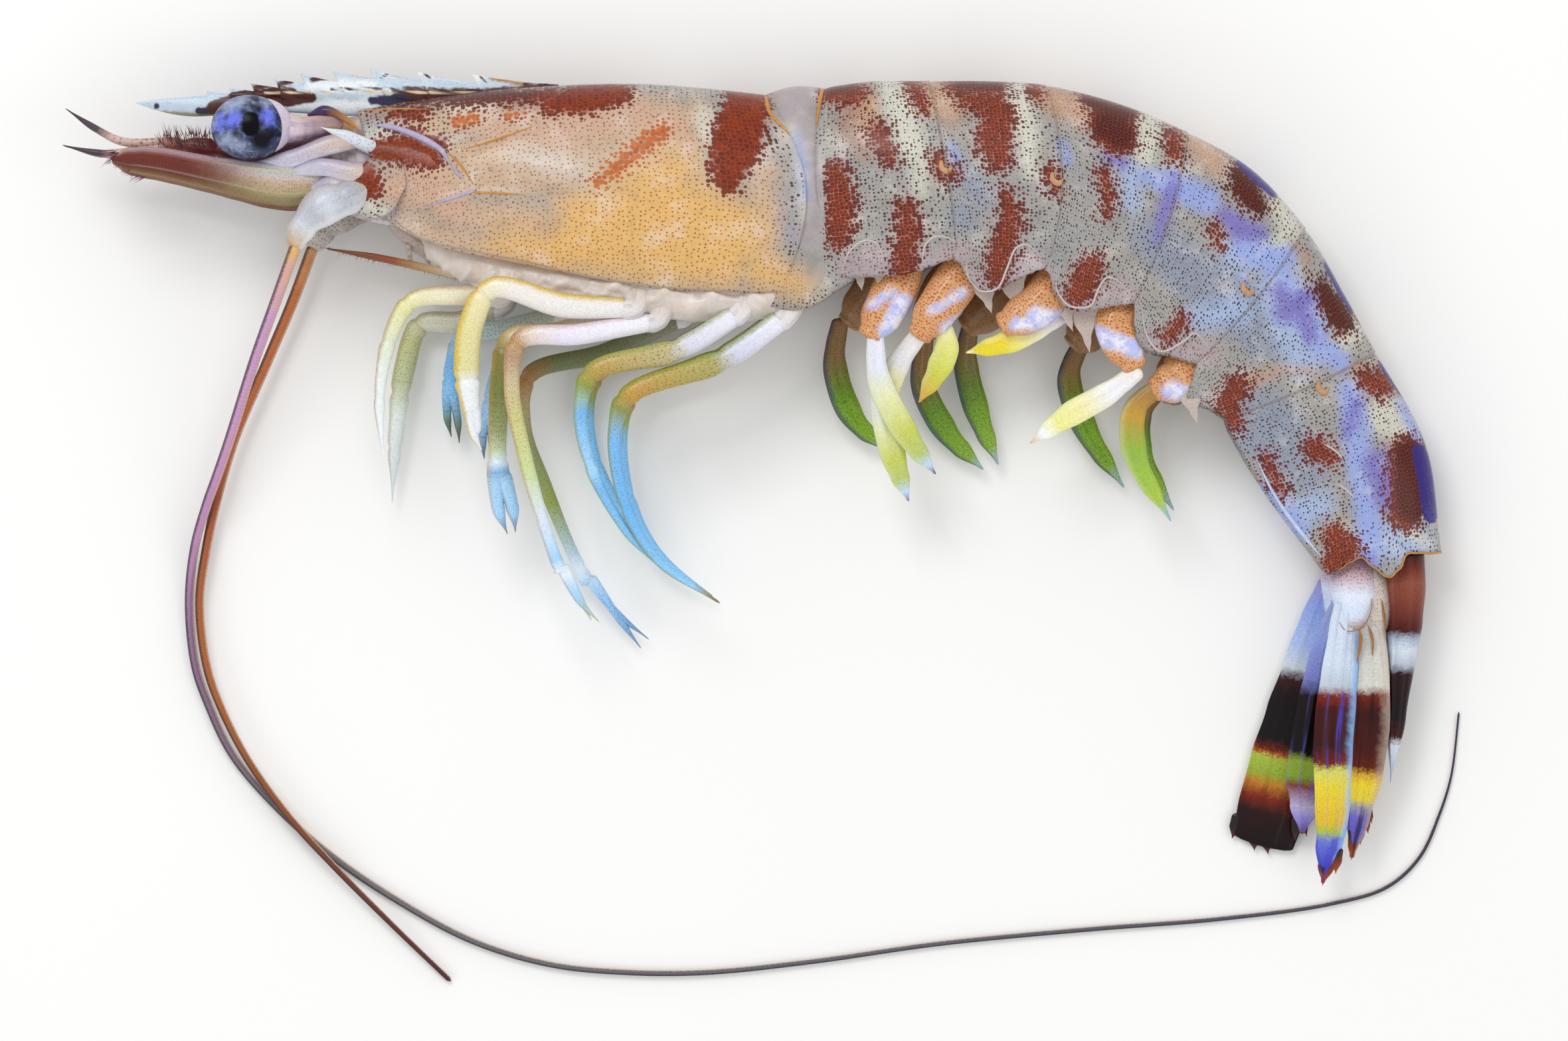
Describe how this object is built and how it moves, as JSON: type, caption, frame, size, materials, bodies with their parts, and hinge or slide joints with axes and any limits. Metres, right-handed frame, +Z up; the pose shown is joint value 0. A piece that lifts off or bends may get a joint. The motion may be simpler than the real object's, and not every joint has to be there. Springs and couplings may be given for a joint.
{
  "type": "raw shrimp",
  "caption": "Whole raw banded prawn with head, shell, legs and tail fan, lying on its side in a curve with its long feelers swept round below it.",
  "frame": {"origin": "centre of the bounding box in X and Y, on the surface the part lies on (Z = 0)", "axes": "+X from the head towards the tail, +Y towards the back of the trunk, +Z up out of the left side, which faces up"},
  "size_m": [0.1406, 0.0922, 0.0163],
  "materials": {
    "shell": "wet translucent shell, grey to tan with dark red-brown bands",
    "membrane": "soft wet skin, pale grey with a lilac cast",
    "eye": "glossy marbled blue-grey",
    "head_limb": "satin shell, brown to olive stripes",
    "antenna": "satin, lilac-grey to red-brown",
    "leg": "wet thin shell, yellow to white and sky blue",
    "swimmeret": "wet thin shell, orange to green",
    "tail": "wet thin shell, dark brown band, yellow band and blue ends"
  },
  "bodies": {
    "root": {"carapace": "shell", "abdomen_1": "shell", "abdomen_2": "shell", "abdomen_3": "shell", "abdomen_4": "shell", "abdomen_5": "shell", "abdomen_6": "shell", "neck_skin": "membrane", "thorax_floor": "membrane", "head_core": "membrane", "mouthparts": "membrane", "eye_left": "eye", "eye_right": "eye", "antennule_left": "head_limb", "antennule_right": "head_limb", "antennal_scale_left": "head_limb", "antennal_scale_right": "head_limb", "antenna_base_left": "head_limb", "antenna_base_right": "head_limb", "palp_left": "head_limb", "palp_right": "head_limb", "antenna_left": "antenna", "antenna_right": "antenna", "maxilliped_left": "leg", "maxilliped_right": "leg", "leg_1_left": "leg", "leg_1_right": "leg", "leg_2_left": "leg", "leg_2_right": "leg", "leg_3_left": "leg", "leg_3_right": "leg", "leg_4_left": "leg", "leg_4_right": "leg", "leg_5_left": "leg", "leg_5_right": "leg", "swimmeret_1_left": "swimmeret", "swimmeret_1_right": "swimmeret", "swimmeret_2_left": "swimmeret", "swimmeret_2_right": "swimmeret", "swimmeret_3_left": "swimmeret", "swimmeret_3_right": "swimmeret", "swimmeret_4_left": "swimmeret", "swimmeret_4_right": "swimmeret", "swimmeret_5_left": "swimmeret", "swimmeret_5_right": "swimmeret", "telson": "tail", "uropod_outer_left": "tail", "uropod_outer_right": "tail", "uropod_inner_left": "tail", "uropod_inner_right": "tail"}
  },
  "joints": []
}
